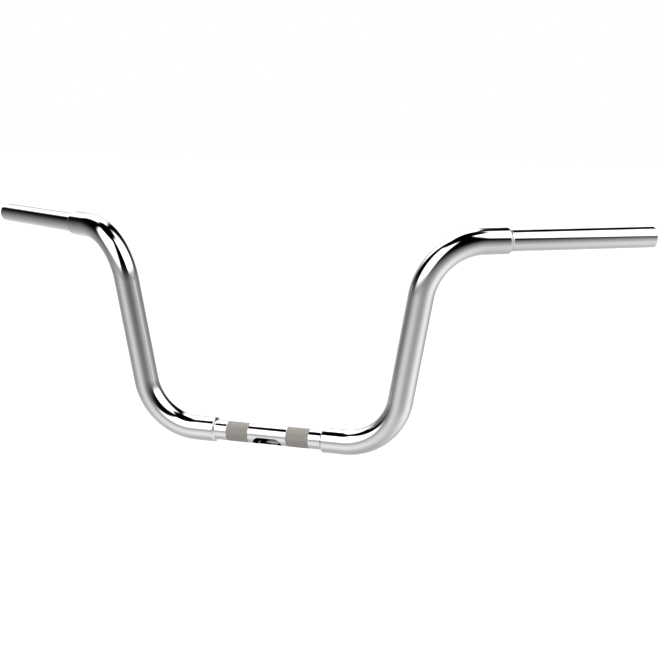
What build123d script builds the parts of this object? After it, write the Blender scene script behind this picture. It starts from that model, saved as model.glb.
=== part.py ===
from build123d import *
from math import cos, radians, sin, tan
import os

# Stepped tubular handlebar: 1 1/4 in risers, 1 in clamp section and grips.
# Millimetres. +Z is up, +X is the clutch side, +Y points back to the rider.
# The origin is the middle of the clamp section, on its axis.

# Tube sizes
riser_od = 31.75            # 1 1/4 in
inner_od = 25.4             # 1 in, clamp section and both grips
slip_clearance = 0.125      # each side, inner tube in riser tube
clamp_wall = 3.05
grip_wall = 3.05

# Clamp section
clamp_half_length = 73.3    # centre to the full riser diameter
wire_slot_length = 38.0
wire_slot_width = 16.0
wire_slot_drop = 45.0       # degrees below straight ahead

# Riser tubes, in the order the tube runs
lower_straight = 26.3
lower_bend_radius = 72.0
riser_splay = 10.0          # degrees outward from vertical
upright_straight = 132.5
upper_bend_radius = 76.0
grip_sweep = 28.2           # degrees back from straight across
upper_straight = 27.7
bend_margin = 6.0           # inner tubes stop this far short of a bend

# Grips
grip_length = 187.0         # shoulder to tip
tip_bore_chamfer = 0.6
tip_land = 0.05             # flat left between chamfer and rounding
entry_slot_length = 20.0
entry_slot_width = 9.0
entry_slot_gap = 12.0       # weld cone to the near end of the slot

# Ground weld cones, one at each step in diameter
clamp_cone_length = 2.4
grip_cone_length = 5.2
cone_toe = 0.2              # lip left at the small end
weld_groove_depth = 1.0     # turned into the inner tube, filled by the weld

riser_radius = riser_od / 2
inner_radius = inner_od / 2
weld_root = inner_radius - weld_groove_depth
riser_bore = inner_radius + slip_clearance
clamp_bore = inner_radius - clamp_wall
grip_bore = inner_radius - grip_wall
tip_rounding = grip_wall - tip_bore_chamfer - tip_land


def bend(start, heading, new_heading, radius):
    """Return the middle and the end of a bend that turns one heading into another."""
    half_turn = radians(heading.get_angle(new_heading)) / 2
    corner = start + heading * (radius * tan(half_turn))
    inward = (new_heading - heading).normalized()
    middle = corner + inward * (radius / cos(half_turn) - radius)
    end = corner + new_heading * (radius * tan(half_turn))
    return middle, end


# Centreline of the clutch side; the throttle side is its mirror image
across = Vector(1, 0, 0)
upright = Vector(sin(radians(riser_splay)), 0, cos(radians(riser_splay)))
grip_heading = Vector(cos(radians(grip_sweep)), sin(radians(grip_sweep)), 0)

clamp_end = across * clamp_half_length
lower_start = clamp_end + across * lower_straight
lower_middle, lower_end = bend(lower_start, across, upright, lower_bend_radius)
upper_start = lower_end + upright * upright_straight
upper_middle, upper_end = bend(upper_start, upright, grip_heading, upper_bend_radius)
shoulder = upper_end + grip_heading * upper_straight

with BuildLine() as riser_path:
    Line(clamp_end, lower_start)
    ThreePointArc(lower_start, lower_middle, lower_end)
    Line(lower_end, upper_start)
    ThreePointArc(upper_start, upper_middle, upper_end)
    Line(upper_end, shoulder)

clamp_end_plane = Plane(clamp_end, x_dir=(0, 1, 0), z_dir=across)
shoulder_plane = Plane(shoulder, x_dir=(0, 0, 1), z_dir=grip_heading)
grip_axis = Axis(shoulder, grip_heading)

# Clamp section, with its wire slot in front and below
clamp_insertion = lower_straight - bend_margin
slot_drop = radians(wire_slot_drop)
wire_slot_plane = Plane((0, 0, 0), x_dir=(1, 0, 0), z_dir=(0, -cos(slot_drop), -sin(slot_drop)))

with BuildPart() as clamp_tube:
    with BuildSketch(Plane.YZ):
        Circle(inner_radius)
        Circle(clamp_bore, mode=Mode.SUBTRACT)
    extrude(amount=clamp_half_length + clamp_insertion, both=True)

    with BuildSketch(clamp_end_plane, Plane(-clamp_end, x_dir=(0, 1, 0), z_dir=-across)):
        Circle(inner_radius)
        Circle(weld_root, mode=Mode.SUBTRACT)
    extrude(amount=-clamp_cone_length, mode=Mode.SUBTRACT)

    with BuildSketch(wire_slot_plane):
        SlotOverall(wire_slot_length, wire_slot_width)
    extrude(amount=inner_od, mode=Mode.SUBTRACT)

# Riser tubes, one bent tube each side
with BuildPart() as clutch_riser_tube:
    with BuildSketch(clamp_end_plane):
        Circle(riser_radius)
        Circle(riser_bore, mode=Mode.SUBTRACT)
    sweep(path=riser_path.wire())

with BuildPart() as throttle_riser_tube:
    mirror(clutch_riser_tube.part, about=Plane.YZ)

# Grip tubes, open at the tip, with a wire entry slot underneath
grip_insertion = upper_straight - bend_margin
entry_slot_reach = grip_cone_length + entry_slot_gap + entry_slot_length / 2
entry_slot_centre = shoulder + grip_heading * entry_slot_reach

with BuildPart() as clutch_grip_tube:
    with BuildSketch(shoulder_plane.offset(-grip_insertion)):
        Circle(inner_radius)
        Circle(grip_bore, mode=Mode.SUBTRACT)
    extrude(amount=grip_insertion + grip_length)

    with BuildSketch(shoulder_plane):
        Circle(inner_radius)
        Circle(weld_root, mode=Mode.SUBTRACT)
    extrude(amount=grip_cone_length, mode=Mode.SUBTRACT)

    tip_rims = clutch_grip_tube.edges().group_by(grip_axis)[-1].sort_by(SortBy.LENGTH)
    chamfer(tip_rims[0], length=tip_bore_chamfer)
    tip_rims = clutch_grip_tube.edges().group_by(grip_axis)[-1].sort_by(SortBy.LENGTH)
    fillet(tip_rims[-1], radius=tip_rounding)

    with BuildSketch(Plane(entry_slot_centre, x_dir=grip_heading, z_dir=(0, 0, -1))):
        SlotOverall(entry_slot_length, entry_slot_width)
    extrude(amount=inner_od, mode=Mode.SUBTRACT)

with BuildPart() as throttle_grip_tube:
    mirror(clutch_grip_tube.part, about=Plane.YZ)



def cone_profile(length):
    """Return the cone's half section as (distance from the step, radius)."""
    foot = inner_radius + cone_toe
    return [(0, weld_root), (0, riser_radius), (length, foot), (length, weld_root)]


# Ground weld cones, one at each step between the two tube sizes

with BuildPart() as clutch_clamp_cone:
    with BuildSketch(Plane(clamp_end, x_dir=-across, z_dir=(0, 0, 1))):
        Polygon(*cone_profile(clamp_cone_length), align=None)
    revolve(axis=Axis(clamp_end, across))

with BuildPart() as throttle_clamp_cone:
    mirror(clutch_clamp_cone.part, about=Plane.YZ)

with BuildPart() as clutch_grip_cone:
    with BuildSketch(Plane(shoulder, x_dir=grip_heading, z_dir=(0, 0, 1))):
        Polygon(*cone_profile(grip_cone_length), align=None)
    revolve(axis=grip_axis)

with BuildPart() as throttle_grip_cone:
    mirror(clutch_grip_cone.part, about=Plane.YZ)

# One file per piece
os.makedirs("parts", exist_ok=True)

clamp_tube.part.label = "clamp_tube"
clutch_riser_tube.part.label = "clutch_riser_tube"
throttle_riser_tube.part.label = "throttle_riser_tube"
clutch_grip_tube.part.label = "clutch_grip_tube"
throttle_grip_tube.part.label = "throttle_grip_tube"
clutch_clamp_cone.part.label = "clutch_clamp_cone"
throttle_clamp_cone.part.label = "throttle_clamp_cone"
clutch_grip_cone.part.label = "clutch_grip_cone"
throttle_grip_cone.part.label = "throttle_grip_cone"

export_step(clamp_tube.part, "parts/clamp_tube.step")
export_step(clutch_riser_tube.part, "parts/clutch_riser_tube.step")
export_step(throttle_riser_tube.part, "parts/throttle_riser_tube.step")
export_step(clutch_grip_tube.part, "parts/clutch_grip_tube.step")
export_step(throttle_grip_tube.part, "parts/throttle_grip_tube.step")
export_step(clutch_clamp_cone.part, "parts/clutch_clamp_cone.step")
export_step(throttle_clamp_cone.part, "parts/throttle_clamp_cone.step")
export_step(clutch_grip_cone.part, "parts/clutch_grip_cone.step")
export_step(throttle_grip_cone.part, "parts/throttle_grip_cone.step")
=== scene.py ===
from math import acos, cos, pi, radians, sin, tan

import bmesh
import bpy
from mathutils import Matrix, Vector


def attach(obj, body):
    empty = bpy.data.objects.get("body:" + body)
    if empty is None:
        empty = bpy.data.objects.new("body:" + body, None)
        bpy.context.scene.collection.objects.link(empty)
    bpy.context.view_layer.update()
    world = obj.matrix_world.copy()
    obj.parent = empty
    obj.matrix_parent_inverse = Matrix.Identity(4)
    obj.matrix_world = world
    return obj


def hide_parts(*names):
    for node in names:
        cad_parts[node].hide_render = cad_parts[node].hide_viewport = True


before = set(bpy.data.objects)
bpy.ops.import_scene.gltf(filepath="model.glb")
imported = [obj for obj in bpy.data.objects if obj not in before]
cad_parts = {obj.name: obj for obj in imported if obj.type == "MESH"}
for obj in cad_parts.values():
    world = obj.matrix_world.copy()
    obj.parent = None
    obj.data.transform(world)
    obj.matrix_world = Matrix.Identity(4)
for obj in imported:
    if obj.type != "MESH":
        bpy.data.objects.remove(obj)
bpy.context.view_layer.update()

# A stepped chrome handlebar: 1 1/4 in risers, 1 in clamp section and grips.
# Every object is in metres; the sizes below are in millimetres.
mm = 0.001

# Tubes
riser_radius = 15.875
inner_radius = 12.7
weld_root = 11.7            # bottom of the groove that each weld fills
riser_bore = 12.825
inner_bore = 9.65

# Clamp section
clamp_half_length = 73.3
clamp_tube_half = 93.6
wire_slot = (38.0, 16.0)
wire_slot_drop = radians(45.0)

# Riser run
lower_straight = 26.3
lower_bend_radius = 72.0
riser_splay = radians(10.0)
upright_straight = 132.5
upper_bend_radius = 76.0
grip_sweep = radians(28.2)
upper_straight = 27.7

# Grips
grip_length = 187.0
grip_insertion = 21.7
tip_rounding = 2.4
tip_bore_chamfer = 0.6
entry_slot = (20.0, 9.0)
entry_slot_distance = 27.2

# Weld cones
clamp_cone_length = 2.4
grip_cone_length = 5.2
weld_toe = 0.02             # lip where a weld runs out on the thin tube

# Knurled bands on the clamp section
band_inner_edge = 25.4
band_outer_edge = 55.4
band_root_radius = 12.3     # the tube is cut away this deep under the teeth
tooth_root_radius = 12.4
tooth_height = 0.3
tooth_pitch = 1.9           # a medium diamond knurl, point to point

clamp_axis = Vector((1, 0, 0))
upright_axis = Vector((sin(riser_splay), 0, cos(riser_splay)))
grip_axis = Vector((cos(grip_sweep), sin(grip_sweep), 0))
lower_reach = lower_bend_radius * tan(radians(90.0) / 2 - riser_splay / 2)
upper_turn = acos(upright_axis.dot(grip_axis))
upper_reach = upper_bend_radius * tan(upper_turn / 2)
clamp_end = clamp_axis * clamp_half_length
lower_corner = clamp_end + clamp_axis * (lower_straight + lower_reach)
upper_corner = lower_corner + upright_axis * (lower_reach + upright_straight + upper_reach)
shoulder = upper_corner + grip_axis * (upper_reach + upper_straight)


# ---------------------------------------------------------------- materials

def linear(code):
    """An sRGB hex colour as the linear RGBA that a shader takes."""
    parts = [int(code[i:i + 2], 16) / 255 for i in (1, 3, 5)]
    return [c / 12.92 if c <= 0.04045 else ((c + 0.055) / 1.055) ** 2.4 for c in parts] + [1.0]


def add(tree, kind, settings=None, links=None, **inputs):
    """Add a node, set its properties and input values, and join its linked inputs."""
    node = tree.nodes.new(kind)
    for name, value in (settings or {}).items():
        setattr(node, name, value)
    for name, value in inputs.items():
        node.inputs[name.replace("_", " ")].default_value = value
    for name, source in (links or {}).items():
        tree.links.new(source, node.inputs[name])
    return node


def new_material(name):
    material = bpy.data.materials.new(name)
    material.use_nodes = True
    material.node_tree.nodes.clear()
    return material, material.node_tree


def chrome_plate():
    """Decorative chrome over polished nickel on steel: buffed before plating, so it mirrors the
    room in sharp lines, with faint buffing haze and the slight waviness of a polished tube."""
    material, tree = new_material("decorative_chrome_plate")
    place = add(tree, "ShaderNodeTexCoord")
    # Buffing haze comes and goes over about 25 mm along the tube
    haze = add(tree, "ShaderNodeTexNoise", links={"Vector": place.outputs["Object"]},
               Scale=40.0, Detail=3.0)
    # Wheel marks are finer than a hair; drawn about 0.8 mm apart so that they register at all
    marks = add(tree, "ShaderNodeTexNoise",
                links={"Vector": place.outputs["Object"]}, Scale=1200.0, Detail=2.0)
    dull = add(tree, "ShaderNodeMapRange", links={"Value": haze.outputs["Fac"]},
               From_Min=0.35, From_Max=0.75, To_Min=0.018, To_Max=0.05)
    wave = add(tree, "ShaderNodeBump", links={"Height": haze.outputs["Fac"]},
               Strength=0.02, Distance=0.0004)
    grain = add(tree, "ShaderNodeBump",
                links={"Height": marks.outputs["Fac"], "Normal": wave.outputs["Normal"]},
                Strength=0.01, Distance=0.00002)
    # Chrome is a grey mirror that turns back a little over half of the light
    shader = add(tree, "ShaderNodeBsdfPrincipled",
                 links={"Roughness": dull.outputs["Result"], "Normal": grain.outputs["Normal"]})
    shader.inputs["Base Color"].default_value = linear("#C5C5C5")
    shader.inputs["Metallic"].default_value = 1.0
    add(tree, "ShaderNodeOutputMaterial", links={"Surface": shader.outputs["BSDF"]})
    return material


def knurled_steel():
    """Diamond knurl rolled into the tube and plated over: the tooth flanks scatter the light,
    so the band reads as an even warm grey with no mirror line in it."""
    material, tree = new_material("rolled_knurl_under_plate")
    place = add(tree, "ShaderNodeTexCoord")
    # Plating builds up unevenly from tooth to tooth, about every 2 mm
    uneven = add(tree, "ShaderNodeTexNoise",
                 links={"Vector": place.outputs["Object"]}, Scale=500.0, Detail=2.0)
    tone = add(tree, "ShaderNodeValToRGB", links={"Fac": uneven.outputs["Fac"]})
    tone.color_ramp.elements[0].position = 0.3
    tone.color_ramp.elements[0].color = linear("#A19D98")
    tone.color_ramp.elements[1].position = 0.7
    tone.color_ramp.elements[1].color = linear("#A8A49F")
    shader = add(tree, "ShaderNodeBsdfPrincipled", links={"Base Color": tone.outputs["Color"]})
    shader.inputs["Metallic"].default_value = 1.0
    shader.inputs["Roughness"].default_value = 0.62
    add(tree, "ShaderNodeOutputMaterial", links={"Surface": shader.outputs["BSDF"]})
    return material


def bare_bore():
    """The inside of drawn steel tube, which some plating reaches: smooth enough to mirror the
    light that comes in, in faint streaks where the draw lines run along it."""
    material, tree = new_material("drawn_steel_bore")
    place = add(tree, "ShaderNodeTexCoord")
    turn = add(tree, "ShaderNodeMapping", links={"Vector": place.outputs["Object"]})
    turn.inputs["Scale"].default_value = (0.05, 1.0, 1.0)
    # Draw lines about 0.6 mm apart, twenty times longer along the tube than across it
    lines = add(tree, "ShaderNodeTexNoise",
                links={"Vector": turn.outputs["Vector"]}, Scale=1600.0, Detail=3.0)
    tone = add(tree, "ShaderNodeValToRGB", links={"Fac": lines.outputs["Fac"]})
    tone.color_ramp.elements[0].color = linear("#B4B3B1")
    tone.color_ramp.elements[1].color = linear("#D2D1CF")
    relief = add(tree, "ShaderNodeBump",
                 links={"Height": lines.outputs["Fac"]}, Strength=0.06, Distance=0.00005)
    shader = add(tree, "ShaderNodeBsdfPrincipled",
                 links={"Base Color": tone.outputs["Color"], "Normal": relief.outputs["Normal"]})
    shader.inputs["Metallic"].default_value = 1.0
    shader.inputs["Roughness"].default_value = 0.08
    add(tree, "ShaderNodeOutputMaterial", links={"Surface": shader.outputs["BSDF"]})
    return material


def ground_weld(name, roughness):
    """Weld metal ground to a cone and plated with the tubes: chrome, with a trace of the
    grinding belt left in it, which softens what it mirrors."""
    material, tree = new_material(name)
    place = add(tree, "ShaderNodeTexCoord")
    # Belt marks about 0.5 mm apart
    belt = add(tree, "ShaderNodeTexNoise",
               links={"Vector": place.outputs["Object"]}, Scale=2000.0, Detail=2.0)
    relief = add(tree, "ShaderNodeBump",
                 links={"Height": belt.outputs["Fac"]}, Strength=0.08, Distance=0.00005)
    shader = add(tree, "ShaderNodeBsdfPrincipled", links={"Normal": relief.outputs["Normal"]})
    shader.inputs["Base Color"].default_value = linear("#C5C5C5")
    shader.inputs["Metallic"].default_value = 1.0
    shader.inputs["Roughness"].default_value = roughness
    add(tree, "ShaderNodeOutputMaterial", links={"Surface": shader.outputs["BSDF"]})
    return material


chrome = chrome_plate()
knurl = knurled_steel()
bore = bare_bore()
clamp_weld = ground_weld("ground_and_buffed_weld_under_chrome", 0.12)
# The long grip cones are only linished, so they blur the room into one even tone
grip_weld = ground_weld("linished_weld_under_chrome", 0.36)


# ---------------------------------------------------------------- geometry nodes

def new_tree(name, sizes):
    """A geometry node tree with one named input for each size, and its group input and output."""
    tree = bpy.data.node_groups.new(name, "GeometryNodeTree")
    tree.interface.new_socket("Geometry", in_out="INPUT", socket_type="NodeSocketGeometry")
    for size, kind in sizes:
        tree.interface.new_socket(size, in_out="INPUT", socket_type=kind)
    tree.interface.new_socket("Material", in_out="INPUT", socket_type="NodeSocketMaterial")
    tree.interface.new_socket("Geometry", in_out="OUTPUT", socket_type="NodeSocketGeometry")
    return tree, add(tree, "NodeGroupInput")


def close_tree(tree, given, source):
    """End a tree with real geometry and its material."""
    real = add(tree, "GeometryNodeRealizeInstances", links={"Geometry": source})
    dressed = add(tree, "GeometryNodeSetMaterial",
                  links={"Geometry": real.outputs["Geometry"], "Material": given.outputs["Material"]})
    add(tree, "NodeGroupOutput", links={"Geometry": dressed.outputs["Geometry"]})


def grow(name, carrier, tree, values):
    """Run a tree on a carrier object and keep the result as a plain mesh object."""
    modifier = carrier.modifiers.new("grow", "NODES")
    modifier.node_group = tree
    identifiers = {s.name: s.identifier for s in tree.interface.items_tree if s.in_out == "INPUT"}
    for size, value in values.items():
        modifier[identifiers[size]] = value
    bpy.context.view_layer.update()
    evaluated = carrier.evaluated_get(bpy.context.evaluated_depsgraph_get())
    mesh = bpy.data.meshes.new_from_object(evaluated)
    bpy.data.objects.remove(carrier)
    mesh.name = name
    return finished(name, mesh)


def finished(name, mesh):
    piece = bpy.data.objects.new(name, mesh)
    bpy.context.scene.collection.objects.link(piece)
    return piece


def apply_modifiers(piece):
    """Bake a piece's modifiers into its mesh."""
    bpy.context.view_layer.update()
    evaluated = piece.evaluated_get(bpy.context.evaluated_depsgraph_get())
    mesh = bpy.data.meshes.new_from_object(evaluated)
    piece.modifiers.clear()
    piece.data = mesh


def swept_tube_tree():
    """A round tube along a line of corners, each rounded to its own radius."""
    tree, given = new_tree("swept_tube", [
        ("Lower bend radius", "NodeSocketFloat"),
        ("Upper bend radius", "NodeSocketFloat"),
        ("Tube radius", "NodeSocketFloat"),
        ("Ring spacing", "NodeSocketFloat"),
        ("Sides", "NodeSocketInt"),
    ])
    corner = add(tree, "GeometryNodeInputIndex")
    is_upper = add(tree, "FunctionNodeCompare", {"data_type": "INT", "operation": "EQUAL"})
    tree.links.new(corner.outputs["Index"], is_upper.inputs[2])
    is_upper.inputs[3].default_value = 2
    radius = add(tree, "GeometryNodeSwitch", {"input_type": "FLOAT"},
                 links={"Switch": is_upper.outputs["Result"], "False": given.outputs["Lower bend radius"],
                        "True": given.outputs["Upper bend radius"]})
    rounded = add(tree, "GeometryNodeFilletCurve", {"mode": "POLY"},
                  {"Curve": given.outputs["Geometry"], "Radius": radius.outputs["Output"]}, Count=160)
    even = add(tree, "GeometryNodeResampleCurve", {"mode": "LENGTH"},
               {"Curve": rounded.outputs["Curve"], "Length": given.outputs["Ring spacing"]})
    ring = add(tree, "GeometryNodeCurvePrimitiveCircle",
               links={"Radius": given.outputs["Tube radius"], "Resolution": given.outputs["Sides"]})
    tube = add(tree, "GeometryNodeCurveToMesh",
               links={"Curve": even.outputs["Curve"], "Profile Curve": ring.outputs["Curve"]})
    smooth = add(tree, "GeometryNodeSetShadeSmooth", links={"Geometry": tube.outputs["Mesh"]})
    close_tree(tree, given, smooth.outputs["Geometry"])
    return tree


def knurl_tree():
    """A band of diamond teeth round an axis along X. Every second corner of a square mesh is
    raised, and each square is split between its two low corners, so the corners become points."""
    tree, given = new_tree("diamond_knurl", [
        ("Band start", "NodeSocketFloat"),
        ("Band length", "NodeSocketFloat"),
        ("Root radius", "NodeSocketFloat"),
        ("Tooth height", "NodeSocketFloat"),
        ("Rows", "NodeSocketInt"),
        ("Columns", "NodeSocketInt"),
    ])
    rows = add(tree, "ShaderNodeMath", {"operation": "ADD"}, links={0: given.outputs["Rows"]})
    rows.inputs[1].default_value = 1
    columns = add(tree, "ShaderNodeMath", {"operation": "ADD"}, links={0: given.outputs["Columns"]})
    columns.inputs[1].default_value = 1
    sheet = add(tree, "GeometryNodeMeshGrid",
                links={"Vertices X": rows.outputs[0], "Vertices Y": columns.outputs[0]})
    sheet.inputs["Size X"].default_value = 1.0
    sheet.inputs["Size Y"].default_value = 1.0
    place = add(tree, "GeometryNodeInputPosition")
    split = add(tree, "ShaderNodeSeparateXYZ", links={"Vector": place.outputs["Position"]})
    along = add(tree, "ShaderNodeMath", {"operation": "ADD"}, links={0: split.outputs["X"]})
    along.inputs[1].default_value = 0.5
    around = add(tree, "ShaderNodeMath", {"operation": "ADD"}, links={0: split.outputs["Y"]})
    around.inputs[1].default_value = 0.5
    row = add(tree, "ShaderNodeMath", {"operation": "MULTIPLY"},
              links={0: along.outputs[0], 1: given.outputs["Rows"]})
    column = add(tree, "ShaderNodeMath", {"operation": "MULTIPLY"},
                 links={0: around.outputs[0], 1: given.outputs["Columns"]})
    both = add(tree, "ShaderNodeMath", {"operation": "ADD"},
               links={0: row.outputs[0], 1: column.outputs[0]})
    whole = add(tree, "ShaderNodeMath", {"operation": "ROUND"}, links={0: both.outputs[0]})
    odd = add(tree, "ShaderNodeMath", {"operation": "MODULO"}, links={0: whole.outputs[0]})
    odd.inputs[1].default_value = 2.0
    # The outermost rows stay low, so that the band runs out flush at both edges
    from_edge = add(tree, "ShaderNodeMath", {"operation": "PINGPONG"}, links={0: along.outputs[0]})
    from_edge.inputs[1].default_value = 0.5
    inside = add(tree, "ShaderNodeMath", {"operation": "GREATER_THAN"}, links={0: from_edge.outputs[0]})
    inside.inputs[1].default_value = 0.001
    raised = add(tree, "ShaderNodeMath", {"operation": "MULTIPLY"},
                 links={0: odd.outputs[0], 1: inside.outputs[0]})
    lift = add(tree, "ShaderNodeMath", {"operation": "MULTIPLY"},
               links={0: raised.outputs[0], 1: given.outputs["Tooth height"]})
    radius = add(tree, "ShaderNodeMath", {"operation": "ADD"},
                 links={0: lift.outputs[0], 1: given.outputs["Root radius"]})
    angle = add(tree, "ShaderNodeMath", {"operation": "MULTIPLY"}, links={0: around.outputs[0]})
    angle.inputs[1].default_value = 2 * pi
    cosine = add(tree, "ShaderNodeMath", {"operation": "COSINE"}, links={0: angle.outputs[0]})
    sine = add(tree, "ShaderNodeMath", {"operation": "SINE"}, links={0: angle.outputs[0]})
    y = add(tree, "ShaderNodeMath", {"operation": "MULTIPLY"},
            links={0: cosine.outputs[0], 1: radius.outputs[0]})
    z = add(tree, "ShaderNodeMath", {"operation": "MULTIPLY"},
            links={0: sine.outputs[0], 1: radius.outputs[0]})
    reach = add(tree, "ShaderNodeMath", {"operation": "MULTIPLY"},
                links={0: along.outputs[0], 1: given.outputs["Band length"]})
    x = add(tree, "ShaderNodeMath", {"operation": "ADD"},
            links={0: reach.outputs[0], 1: given.outputs["Band start"]})
    spot = add(tree, "ShaderNodeCombineXYZ",
               links={"X": x.outputs[0], "Y": y.outputs[0], "Z": z.outputs[0]})
    wrapped = add(tree, "GeometryNodeSetPosition",
                  links={"Geometry": sheet.outputs["Mesh"], "Position": spot.outputs["Vector"]})
    joined = add(tree, "GeometryNodeMergeByDistance",
                 links={"Geometry": wrapped.outputs["Geometry"]}, Distance=0.00005)
    split_squares = add(tree, "GeometryNodeTriangulate", {"quad_method": "SHORTEST_DIAGONAL"},
                        {"Mesh": joined.outputs["Geometry"]})
    close_tree(tree, given, split_squares.outputs["Mesh"])
    return tree


# ---------------------------------------------------------------- pieces

def turned(name, outline, origin, axis, up, sides=144):
    """Spin a closed outline of (distance along the axis, radius) into a solid ring of material.
    Long straight stretches are divided, so that the shading stays true along them."""
    points = []
    for (a, r), (b, s) in zip(outline, outline[1:] + outline[:1]):
        steps = max(1, int(abs(b - a) / 4.0)) if abs(r - s) < 1e-6 else 1
        points += [(a + (b - a) * i / steps, r + (s - r) * i / steps) for i in range(steps)]
    axis = axis.normalized()
    side = up.cross(axis).normalized()
    up = axis.cross(side)
    mesh = bpy.data.meshes.new(name)
    corners = []
    for i in range(sides):
        turn = 2 * pi * i / sides
        spoke = side * cos(turn) + up * sin(turn)
        corners += [(origin + axis * a + spoke * r) * mm for a, r in points]
    n = len(points)
    faces = []
    for i in range(sides):
        j = (i + 1) % sides
        for k in range(n):
            m = (k + 1) % n
            faces.append((i * n + k, i * n + m, j * n + m, j * n + k))
    mesh.from_pydata(corners, [], faces)
    mesh.validate()
    piece = finished(name, mesh)
    face_outwards(mesh)
    return piece


def face_outwards(mesh):
    edit = bmesh.new()
    edit.from_mesh(mesh)
    bmesh.ops.recalc_face_normals(edit, faces=edit.faces)
    edit.to_mesh(mesh)
    edit.free()


def mirror_piece(piece, name):
    """The same piece on the other side of the bar."""
    mesh = piece.data.copy()
    mesh.name = name
    mesh.transform(Matrix.Scale(-1, 4, Vector((1, 0, 0))))
    mesh.flip_normals()
    return finished(name, mesh)


def cut_slot(piece, centre, along, outward, size, reach):
    """Cut a round-ended slot through one wall of a tube."""
    length, width = size
    across = outward.cross(along).normalized()
    outline = []
    for end in (1, -1):
        for i in range(33):
            turn = -pi / 2 + pi * i / 32
            u = end * ((length - width) / 2 + width / 2 * cos(turn))
            v = end * width / 2 * sin(turn)
            outline.append((u, v))
    edit = bmesh.new()
    ring = [edit.verts.new((centre + along * u + across * v) * mm) for u, v in outline]
    base = edit.faces.new(ring)
    top = bmesh.ops.extrude_face_region(edit, geom=[base])
    moved = [g for g in top["geom"] if isinstance(g, bmesh.types.BMVert)]
    bmesh.ops.translate(edit, verts=moved, vec=outward * reach * mm)
    bmesh.ops.recalc_face_normals(edit, faces=edit.faces)
    mesh = bpy.data.meshes.new("cutter")
    edit.to_mesh(mesh)
    edit.free()
    cutter = finished("cutter", mesh)
    cut = piece.modifiers.new("slot", "BOOLEAN")
    cut.operation = "DIFFERENCE"
    cut.solver = "EXACT"
    cut.object = cutter
    apply_modifiers(piece)
    bpy.data.objects.remove(cutter)


def dress_tube(piece, origin, axis, bore_radius):
    """Give the bore its own material, and shade the round walls true."""
    axis = axis.normalized()
    mesh = piece.data
    mesh.materials.clear()
    mesh.materials.append(chrome)
    mesh.materials.append(bore)
    mesh.shade_smooth()
    normals = []
    limit = bore_radius + 1.0
    for face in mesh.polygons:
        centre = face.center / mm - origin
        spoke = centre - axis * centre.dot(axis)
        outward = face.normal.dot(spoke.normalized())
        if spoke.length < limit and outward < -0.9:
            face.material_index = 1
        for corner in face.vertices:
            spot = mesh.vertices[corner].co / mm - origin
            ray = (spot - axis * spot.dot(axis)).normalized()
            if outward > 0.995:
                normals.append(ray)
            elif outward < -0.995:
                normals.append(-ray)
            else:
                normals.append(None)
    mesh.set_sharp_from_angle(angle=radians(35))
    smooth = [n.vector.copy() for n in mesh.corner_normals]
    mesh.normals_split_custom_set([tuple(n if n is not None else s) for n, s in zip(normals, smooth)])


def rounding(centre_along, centre_radius, radius, start, stop, steps=8):
    """Points of a quarter round in (along, radius), from one angle to another."""
    return [(centre_along + radius * cos(start + (stop - start) * i / steps),
             centre_radius + radius * sin(start + (stop - start) * i / steps)) for i in range(steps + 1)]


up = Vector((0, 0, 1))
here = Vector((0, 0, 0))

# Clamp section: relieved under the knurl, grooved for the welds
half = [
    (0, inner_radius),
    (band_inner_edge, inner_radius),
    (band_inner_edge + 0.3, band_root_radius),
    (band_outer_edge - 0.3, band_root_radius),
    (band_outer_edge, inner_radius),
    (clamp_half_length - clamp_cone_length, inner_radius),
    (clamp_half_length - clamp_cone_length, weld_root),
    (clamp_half_length, weld_root),
    (clamp_half_length, inner_radius),
    (clamp_tube_half, inner_radius),
    (clamp_tube_half, inner_bore),
]
outline = half + [(-a, r) for a, r in reversed(half[1:])]
clamp_tube = turned("clamp_section", outline, here, clamp_axis, up)
slot_out = Vector((0, -cos(wire_slot_drop), -sin(wire_slot_drop)))
cut_slot(clamp_tube, here, clamp_axis, slot_out, wire_slot, 25.4)
dress_tube(clamp_tube, here, clamp_axis, inner_bore)

# Grip tube, rounded at the tip
wall_middle = grip_length - tip_rounding
tip = rounding(wall_middle, inner_radius - tip_rounding, tip_rounding, pi / 2, 0)
outline = [
    (-grip_insertion, inner_bore),
    (-grip_insertion, inner_radius),
    (0, inner_radius),
    (0, weld_root),
    (grip_cone_length, weld_root),
    (grip_cone_length, inner_radius),
] + tip + [(grip_length, inner_bore + tip_bore_chamfer), (grip_length - tip_bore_chamfer, inner_bore)]
clutch_grip = turned("clutch_grip", outline, shoulder, grip_axis, up)
cut_slot(clutch_grip, shoulder + grip_axis * entry_slot_distance, grip_axis, -up, entry_slot, 25.4)
dress_tube(clutch_grip, shoulder, grip_axis, inner_bore)

def weld_cone(name, length, origin, axis):
    """A ground weld: full tube at the step, easing down to its toe on the thin tube."""
    foot = inner_radius + weld_toe
    steps = 16
    slope = [(length * i / steps, foot + (riser_radius - foot) * (0.5 + 0.5 * cos(pi * i / steps)))
             for i in range(steps + 1)]
    return turned(name, [(0, weld_root)] + slope + [(length, weld_root)], origin, axis, up)


# Weld cones
clutch_clamp_cone = weld_cone("clutch_clamp_weld", clamp_cone_length, clamp_end, -clamp_axis)
clutch_grip_cone = weld_cone("clutch_grip_weld", grip_cone_length, shoulder, grip_axis)
for piece, finish in ((clutch_clamp_cone, clamp_weld), (clutch_grip_cone, grip_weld)):
    piece.data.materials.append(finish)
    piece.data.shade_smooth()
    piece.data.set_sharp_from_angle(angle=radians(35))

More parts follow.
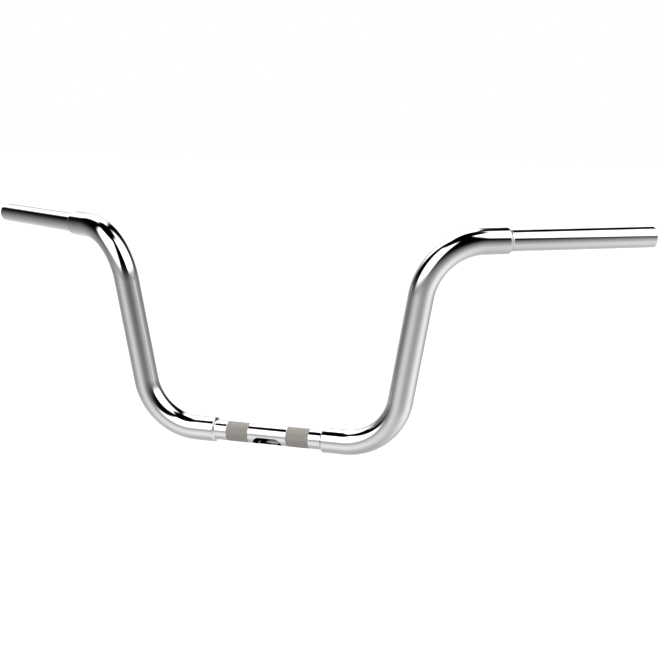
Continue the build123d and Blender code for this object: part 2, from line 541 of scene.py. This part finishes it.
# Riser tube, swept along its corners
route = bpy.data.curves.new("riser_route", "CURVE")
route.dimensions = "3D"
run = route.splines.new("POLY")
run.points.add(3)
for point, place in zip(run.points, (clamp_end, lower_corner, upper_corner, shoulder)):
    point.co = (*(place * mm), 1.0)
carrier = bpy.data.objects.new("riser_route", route)
bpy.context.scene.collection.objects.link(carrier)
clutch_riser = grow("clutch_riser", carrier, swept_tube_tree(), {
    "Lower bend radius": lower_bend_radius * mm,
    "Upper bend radius": upper_bend_radius * mm,
    "Tube radius": riser_radius * mm,
    "Ring spacing": 2.0 * mm,
    "Sides": 128,
    "Material": chrome,
})
face_outwards(clutch_riser.data)
wall = clutch_riser.modifiers.new("wall", "SOLIDIFY")
wall.thickness = (riser_radius - riser_bore) * mm
wall.offset = -1.0
wall.use_even_offset = True
apply_modifiers(clutch_riser)
clutch_riser.data.shade_smooth()
clutch_riser.data.set_sharp_from_angle(angle=radians(35))

# Knurled bands
circumference = 2 * pi * (tooth_root_radius + tooth_height)
teeth_round = 2 * round(circumference / tooth_pitch)
rows = 2 * round((band_outer_edge - band_inner_edge) / tooth_pitch)
band = bpy.data.objects.new("band", bpy.data.meshes.new("band"))
bpy.context.scene.collection.objects.link(band)
clutch_knurl = grow("clutch_knurl", band, knurl_tree(), {
    "Band start": band_inner_edge * mm,
    "Band length": (band_outer_edge - band_inner_edge) * mm,
    "Root radius": tooth_root_radius * mm,
    "Tooth height": tooth_height * mm,
    "Rows": rows,
    "Columns": teeth_round,
    "Material": knurl,
})

throttle_grip = mirror_piece(clutch_grip, "throttle_grip")
throttle_riser = mirror_piece(clutch_riser, "throttle_riser")
throttle_clamp_cone = mirror_piece(clutch_clamp_cone, "throttle_clamp_weld")
throttle_grip_cone = mirror_piece(clutch_grip_cone, "throttle_grip_weld")
throttle_knurl = mirror_piece(clutch_knurl, "throttle_knurl")

stands_for = [
    (clamp_tube, "clamp_tube"),
    (clutch_riser, "clutch_riser_tube"),
    (throttle_riser, "throttle_riser_tube"),
    (clutch_grip, "clutch_grip_tube"),
    (throttle_grip, "throttle_grip_tube"),
    (clutch_clamp_cone, "clutch_clamp_cone"),
    (throttle_clamp_cone, "throttle_clamp_cone"),
    (clutch_grip_cone, "clutch_grip_cone"),
    (throttle_grip_cone, "throttle_grip_cone"),
    (clutch_knurl, None),
    (throttle_knurl, None),
]
for piece, node in stands_for:
    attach(piece, "root")
    if node:
        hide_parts(node)


# ---------------------------------------------------------------- studio

def studio_floor():
    """A plain pale sheet well below the bar."""
    mesh = bpy.data.meshes.new("floor")
    size, depth = 12.0, -0.45
    corners = [(-size, -size, depth), (size, -size, depth), (size, size, depth), (-size, size, depth)]
    mesh.from_pydata(corners, [], [(0, 1, 2, 3)])
    floor = finished("floor", mesh)
    material, tree = new_material("matt_white_paper")
    shader = add(tree, "ShaderNodeBsdfPrincipled")
    shader.inputs["Base Color"].default_value = linear("#F2F2F2")
    shader.inputs["Roughness"].default_value = 0.9
    add(tree, "ShaderNodeOutputMaterial", links={"Surface": shader.outputs["BSDF"]})
    mesh.materials.append(material)
    floor.visible_glossy = False
    return floor


def studio_dome():
    """White all round to the eye. What the chrome mirrors and is lit by is a dark room with
    three big soft boxes a third of a turn apart over a pale floor that carries their glow."""
    world = bpy.data.worlds.new("studio")
    bpy.context.scene.world = world
    world.use_nodes = True
    tree = world.node_tree
    tree.nodes.clear()

    def maths(operation, a, b=None):
        node = add(tree, "ShaderNodeMath", {"operation": operation})
        for socket, value in zip(node.inputs, (a, b)):
            if isinstance(value, (int, float)):
                socket.default_value = value
            elif value is not None:
                tree.links.new(value, socket)
        return node.outputs[0]

    def fade(value, start, stop):
        """1 before start, 0 after stop, both in degrees."""
        node = add(tree, "ShaderNodeMapRange", {"interpolation_type": "SMOOTHSTEP"}, links={"Value": value},
                   From_Min=start, From_Max=stop, To_Min=1.0, To_Max=0.0)
        return node.outputs["Result"]

    def profile(value, stops):
        """A curve through (degrees of elevation, tone) points."""
        scaled = add(tree, "ShaderNodeMapRange", links={"Value": value}, From_Min=-90.0, From_Max=90.0)
        ramp = add(tree, "ShaderNodeValToRGB", links={"Fac": scaled.outputs["Result"]})
        elements = ramp.color_ramp.elements
        while len(elements) < len(stops):
            elements.new(0.5)
        for element, (height, tone) in zip(elements, stops):
            element.position = (height + 90.0) / 180.0
            element.color = (tone, tone, tone, 1.0)
        return ramp.outputs["Color"]

    def from_bearing(centre):
        """Degrees to the right of a bearing, from -180 to 180."""
        offset = maths("WRAP", maths("SUBTRACT", bearing, centre), 180.0)
        offset.node.inputs[2].default_value = -180.0
        return offset

    look = add(tree, "ShaderNodeTexCoord")
    split = add(tree, "ShaderNodeSeparateXYZ", links={"Vector": look.outputs["Generated"]})
    front = maths("MULTIPLY", split.outputs["Y"], -1.0)
    bearing = maths("MULTIPLY", maths("ARCTAN2", split.outputs["X"], front), 180 / pi)
    height = maths("MULTIPLY", maths("ARCSINE", split.outputs["Z"]), 180 / pi)

    # Bare room above the horizon and pale floor below it, as the tone a chrome tube shows
    tone = profile(height, [(-90, .64), (-55, .68), (-40, .66), (-30, .58), (-20, .48), (-10, .40),
                            (0, .28), (10, .17), (20, .08), (30, .03), (90, .02)])

    def glow(tone, strength, centre, level, wide, tall):
        """The patch of floor and low wall that a soft box lights."""
        across = maths("DIVIDE", from_bearing(centre), wide)
        upright = maths("DIVIDE", maths("SUBTRACT", height, level), tall)
        square = maths("ADD", maths("MULTIPLY", across, across), maths("MULTIPLY", upright, upright))
        bell = maths("EXPONENT", maths("MULTIPLY", square, -0.5))
        patch = maths("MULTIPLY", bell, fade(height, 6.0, 24.0))
        return maths("ADD", tone, maths("MULTIPLY", patch, strength))

    def soft_box(tone, centre, spread, left, right, low, high, white=1.28):
        """One soft box: centre bearing, how it spreads with height because it leans in, then its
        four edges as (where it starts to fall off, where it ends)."""
        scale = maths("ADD", maths("MULTIPLY", maths("SUBTRACT", height, 30.0), spread), 1.0)
        offset = maths("DIVIDE", from_bearing(centre), scale)
        sideways = maths("MULTIPLY", fade(offset, *right), fade(maths("MULTIPLY", offset, -1.0), *left))
        above = fade(maths("MULTIPLY", height, -1.0), -low[0], -low[1])
        upright = maths("MULTIPLY", above, fade(height, *high))
        mask = maths("MULTIPLY", sideways, upright)
        return maths("ADD", tone, maths("MULTIPLY", mask, maths("SUBTRACT", white, tone)))

    tone = glow(tone, 0.37, -26.0, -14.0, 30.0, 27.0)
    tone = glow(tone, 0.47, 95.0, -2.0, 32.0, 36.0)
    tone = glow(tone, 0.52, -150.0, 8.0, 31.0, 28.0)
    # A narrow gap between two wall panels
    tone = glow(tone, 0.3, 95.0, 4.0, 2.5, 9.0)
    tone = soft_box(tone, -27.0, 0.003, (27.0, 38.0), (27.0, 38.0), (18.0, -2.0), (55.0, 63.0))
    tone = soft_box(tone, 92.0, 0.010, (35.0, 45.0), (34.0, 62.0), (24.0, 6.0), (68.0, 77.0))
    tone = soft_box(tone, -143.0, 0.006, (22.0, 34.0), (30.0, 44.0), (36.0, 2.0), (63.0, 72.0))

    # Undo the display curve and the plating's own share of the light
    light = maths("MULTIPLY", maths("POWER", maths("MAXIMUM", tone, 0.0), 2.2), 1.81)
    room = add(tree, "ShaderNodeBackground", links={"Strength": light})
    room.inputs["Color"].default_value = linear("#FFFFFF")
    backdrop = add(tree, "ShaderNodeBackground")
    backdrop.inputs["Color"].default_value = linear("#FFFFFF")
    backdrop.inputs["Strength"].default_value = 1.0
    seen = add(tree, "ShaderNodeLightPath")
    mix = add(tree, "ShaderNodeMixShader")
    tree.links.new(seen.outputs["Is Camera Ray"], mix.inputs[0])
    tree.links.new(room.outputs[0], mix.inputs[1])
    tree.links.new(backdrop.outputs[0], mix.inputs[2])
    add(tree, "ShaderNodeOutputWorld", links={"Surface": mix.outputs[0]})


studio_floor()
studio_dome()

# Camera: a long way back, a little above the bar and round to the clutch side
target = Vector((80.78, 0, 141.76))
distance = 1353.8
bearing, rise = radians(17.52), radians(12.48)
lens = 60.38
away = Vector((sin(bearing) * cos(rise), -cos(bearing) * cos(rise), sin(rise)))
camera_data = bpy.data.cameras.new("camera")
camera_data.sensor_width = 36.0
camera_data.lens = lens
camera_data.clip_end = 100.0
camera = bpy.data.objects.new("camera", camera_data)
camera.location = (target + away * distance) * mm
camera.rotation_euler = away.to_track_quat("Z", "Y").to_euler()
bpy.context.scene.collection.objects.link(camera)
bpy.context.scene.camera = camera

bpy.context.scene.view_settings.view_transform = "Standard"
